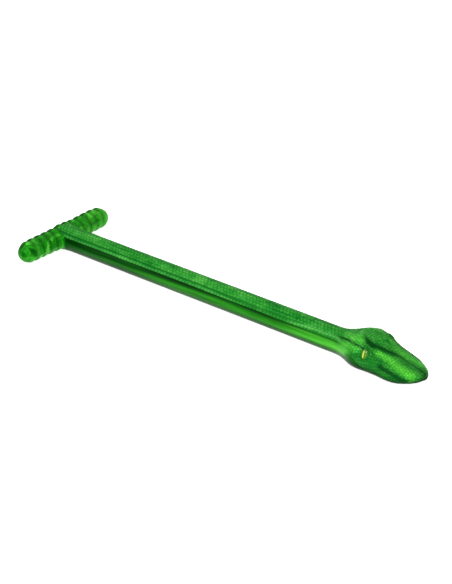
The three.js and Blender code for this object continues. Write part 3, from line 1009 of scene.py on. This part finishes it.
def from_eye(points):
    """Distance from the nearer eye's middle, in the oval eye's own half sizes: 1 on the eye."""
    out, forward, up = eye_axes(1)
    p = folded(points) - EYE - out * EYE_OUT
    return np.sqrt((p @ out / EYE_DEPTH) ** 2 + (p @ forward / EYE_LENGTH) ** 2 + (p @ up / EYE_HEIGHT) ** 2)


def head_fields(base, xs, side, scaled, relief, core, lids):
    """Where the head's dark lines, bright patches and smooth cheeks are, with painted highlight on the pale
    strip and on the patches' scale tops, and painted shade underneath.
    """

    def near(line, width, mirrored=True):
        return falloff(to_line(base, line, mirrored), width)

    nose = falloff(np.linalg.norm(base - NOSE, axis=-1), 5.6)
    cheek = smooth(0, 1, (xs - 366) / 16 + (side - 75) / 40) * smooth(56, 66, side)
    end_of_neck = 1 - smooth(NECK_CUT, NECK_CUT + 18, xs)
    right = 1 - smooth(0, 6, base[..., 1])
    front_cheek = smooth(30, 42, side) * smooth(378, 388, xs) * (1 - smooth(402, 410, xs))
    crest = near(CREST, 2.2, False) * (1 - 0.3 * smooth(404, 412, xs))
    lines = crest + 0.8 * near(TEMPLE, 2.6) * (0.3 + 0.7 * right)
    lines = lines + 1.1 * near(LIP_BAND, 2.5) + near(EYE_LINE, 1.3) + nose + 0.4 * lids
    lines = np.clip(lines, 0, 1)
    # Bright patches on the nape, neck and snout, the snout's stronger on the right side. The material lifts
    # them most on the scales' tops, as painted highlight.
    naped = 0.6 * near(BRIGHT_NAPE, 5.0) + 0.55 * near(BRIGHT_NECK, 3.4) * smooth(346, 368, xs)
    snout = near(BRIGHT_SNOUT, 3.0 + 2.4 * smooth(399, 411, xs))
    crest_shade = 0.7 * near(CREST, 6.0, False) * (1 - smooth(400, 420, xs))
    return {
        "back": scaled,
        "relief": relief,
        "core": core,
        "bead_row_highlight": near(PALE_STRIP, 2.2) * (1 - lines),
        "shade": np.clip(crest_shade + cheek + front_cheek, 0, 1),
        "flank": np.maximum(cheek * (0.5 + 0.25 * smooth(90, 120, side)), body_flank(xs, side) * end_of_neck),
        # Painted shade, darker towards the head's underside.
        "under": smooth(84, 116, side + 8 * smooth(385, 400, xs)),
        "lit": 1 + sunny_neck(xs, side) - cheek,
        "band": lines,
        "glow": np.clip(snout * (0.5 + 0.5 * right) + naped, 0, 1) * (1 - lines),
        "marble": np.zeros_like(side),
        "mottle": np.ones_like(side),
        "turn": side * TURN_LENGTH,
    }


def head_rise(base, xs, side, scaled, relief, lids):
    """How far the scales, lids, brow, nostrils, lips and belly ridges stand out of the plain head."""
    calm = 1 - lids * 0.85
    rise = 0.42 * (relief - 0.7) * scaled * calm * (1 - 0.35 * smooth(400, 416, xs))
    rise = rise + 0.35 * lids + 0.5 * falloff(to_line(base, BROW), 2.0) * (1 - lids)
    rise = rise - 0.35 * falloff(to_line(base, EYE_LINE), 1.0) * calm
    nostril = np.linalg.norm(folded(base) - NOSTRIL, axis=-1)
    rise = rise - 0.9 * falloff(nostril, 0.8) + 0.25 * bump(1.0, 2.8, nostril)
    from_mouth = base[..., 2] - mouth_height(xs)
    mouth = smooth(JAW_START + 2, JAW_START + 8, xs) * (side > 60)
    lips = 0.28 * falloff(from_mouth - 1.3, 0.8) - 0.5 * falloff(from_mouth, 0.45)
    rise = rise + mouth * lips + scutes(xs, side) * 0.8
    return rise + flank_hollow(side) * (1 - smooth(NECK_CUT, NECK_CUT + 28, xs)) * (1 - scaled)


def head_skin(x, psi):
    """Head skin points and fields on a grid of x down its rows. At the neck it is the body's own surface."""
    base = base_point(x[:, None], psi)
    outward = grid_normals(base)
    body, fields = body_skin(x[:, None], psi)
    side = np.abs(np.degrees(psi))
    xs = np.broadcast_to(x[:, None], side.shape)
    head = smooth(NECK_CUT, NECK_CUT + 9, xs)

    edge = through(SCALE_EDGE, x)[:, 0][:, None]
    scaled = 1 - smooth(edge - 2, edge + 3, side)
    nearest, second, place = head_lattice(base)
    relief = smooth(0, 1.1, second - nearest) * (1 - 0.4 * np.clip(nearest / 1.7, 0, 1) ** 2)
    relief = relief * (1 - 0.2 * (place + 0.5)) * scaled
    core = smooth(0.1, 2.2, second - nearest) * (1 - 0.4 * (place + 0.5)) * scaled
    lids = bump(0.74, 1.36, from_eye(base))

    rise = head_rise(base, xs, side, scaled, relief, lids)
    points = body + (base + outward * rise[..., None] - body) * head[..., None]
    points[..., 2] = soft_floor(points[..., 2])
    own = head_fields(base, xs, side, scaled, relief, core, lids)
    return points, mixed(fields, own, head)


def make_head():
    """The crown's and the jaw's skin, cut from one surface along the mouth."""
    t = np.linspace(0, 1, HEAD_ROWS)
    x = NECK_CUT + (SNOUT_X - NECK_CUT) * (1 - (1 - t) ** 1.6)
    psi = head_columns(x)
    points, fields = head_skin(x, psi)
    rows, count = psi.shape
    normals = grid_normals(points).reshape(-1, 3)
    faces = np.array(grid_faces(rows, count))
    row, column = np.divmod(faces[:, 0], count)
    below_mouth = (column >= COLUMNS_ABOVE_MOUTH) & (column < count - COLUMNS_ABOVE_MOUTH)
    in_jaw = below_mouth & (x[row] >= JAW_START)
    flat = {key: value.ravel() for key, value in fields.items()}
    loose = points.reshape(-1, 3)
    for name, chosen, node in (
        ("head_crown_skin", ~in_jaw, "head_crown"),
        ("lower_jaw_skin", in_jaw, "lower_jaw"),
    ):
        piece = shell_piece(name, loose, normals, faces[chosen], flat, HEAD_WALL, SKIN)
        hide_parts(node)
        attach(piece, BODIES[-1])


# ---------------------------------------------------------------- eyes
def make_eye(name, side):
    """An upright oval ball. Its fields say where the slit pupil, the painted highlight beside it and the rim
    lie.
    """
    out, forward, up = eye_axes(side)
    polar = np.radians(np.linspace(0.5, 179.5, 60))[:, None]
    turn = np.radians(np.linspace(0, 360, 72, endpoint=False))[None, :]
    u = np.sin(polar) * np.cos(turn)
    v = np.sin(polar) * np.sin(turn)
    w = np.cos(polar) * np.ones_like(turn)
    slit = np.exp(-(((u - 0.1) / 0.1) ** 4)) * (1 - smooth(0.55, 0.75, np.abs(v))) * (w > 0)
    # A pale band beside the slit: a painted highlight.
    light = falloff(u + 0.12, 0.13) * (1 - smooth(0.5, 0.76, np.abs(v))) * (w > 0)
    size = 1 - 0.025 * slit[..., None]
    centre = EYE * np.array([1, side, 1]) + out * EYE_OUT
    ball = u[..., None] * forward * EYE_LENGTH + v[..., None] * up * EYE_HEIGHT
    ball = ball + w[..., None] * out * EYE_DEPTH
    fields = {
        "band": np.clip(slit, 0, 1),
        "lit": light,
        "flank": smooth(0.42, 0.76, np.hypot(u, 0.85 * v)),
        "glow": falloff(polar, 0.9) * np.ones_like(turn),
    }
    rows, count = w.shape
    faces = grid_faces(rows, count, flip=side > 0)
    caps = [tuple(range(count)), tuple(range((rows - 1) * count, rows * count))[::-1]]
    faces += [cap[::-1] for cap in caps] if side > 0 else caps
    flat = {key: value.ravel() for key, value in fields.items()}
    piece = make_object(name, (centre + ball * size).reshape(-1, 3), faces, EYE_GOLD, flat)
    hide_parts("left_eye" if side > 0 else "right_eye")
    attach(piece, BODIES[-1])


# ---------------------------------------------------------------- stage
FLOOR_SIZE = 12  # in metres, as are the lights' places and sizes and the camera's distance
LIGHTS = [
    # name, place, size, power in watts
    ("key", (0.3, -0.9, 1.1), 0.4, 12.0),
    ("top", (-0.2, -0.2, 1.4), 0.7, 5.0),
    ("front", (0.9, -0.6, 0.5), 0.3, 3.0),
]
CAMERA_AZIMUTH = 39.73  # degrees round from the snake's right side towards its head
CAMERA_ELEVATION = 27.14
CAMERA_DISTANCE = 1.658
CAMERA_TARGET = np.array([205.5, 8.4, AXIS_Z])
CAMERA_LENS = 108.1
CAMERA_SENSOR = 36


def make_stage():
    bpy.ops.mesh.primitive_plane_add(size=FLOOR_SIZE)
    floor = bpy.context.object
    floor.name = "floor"
    n = Nodes("pale_floor")
    cloud = n.noise(n.add("TexCoord").outputs["Object"], 2.0, detail=2)
    white = n.ramp(cloud, [(0.3, (0.78, 0.78, 0.78)), (0.7, (0.8, 0.8, 0.8))])
    floor.data.materials.append(n.finish(white, 0.9, Specular_IOR_Level=0.0, Emission_Strength=0.85))
    n.shader.inputs["Emission Color"].default_value = (1, 1, 1, 1)

    world = bpy.data.worlds.new("soft_room")
    bpy.context.scene.world = world
    world.use_nodes = True
    background = world.node_tree.nodes["Background"]
    background.inputs["Color"].default_value = (1, 1, 1, 1)
    background.inputs["Strength"].default_value = 0.6

    for name, place, size, power in LIGHTS:
        light = bpy.data.lights.new(name, "AREA")
        light.size = size
        light.energy = power
        lamp = link(bpy.data.objects.new(name, light))
        lamp.location = place
        lamp.rotation_euler = (-Vector(place)).to_track_quat("-Z", "Y").to_euler()


def make_camera():
    azimuth = math.radians(CAMERA_AZIMUTH)
    elevation = math.radians(CAMERA_ELEVATION)
    back = Vector((
        math.sin(azimuth) * math.cos(elevation),
        -math.cos(azimuth) * math.cos(elevation),
        math.sin(elevation),
    ))
    data = bpy.data.cameras.new("camera")
    data.lens = CAMERA_LENS
    data.sensor_width = CAMERA_SENSOR
    camera = link(bpy.data.objects.new("camera", data))
    camera.location = Vector(to_row(CAMERA_TARGET)) + back * CAMERA_DISTANCE
    camera.rotation_euler = (-back).to_track_quat("-Z", "Y").to_euler()
    bpy.context.scene.camera = camera
    bpy.context.scene.view_settings.view_transform = "Standard"


def finish_inner_parts():
    """Steel for the rod, screw and pins, and nylon for the rest of the spine."""
    for name, node in frame["nodes"].items():
        metal = name.startswith("spine_pin") or name in ("cross_rod", "hub_screw")
        node.data.materials.clear()
        node.data.materials.append(STEEL if metal else NYLON)


make_stage()
make_camera()
make_body()
make_tee()
make_head()
make_eye("left_eye_ball", 1)
make_eye("right_eye_ball", -1)
finish_inner_parts()
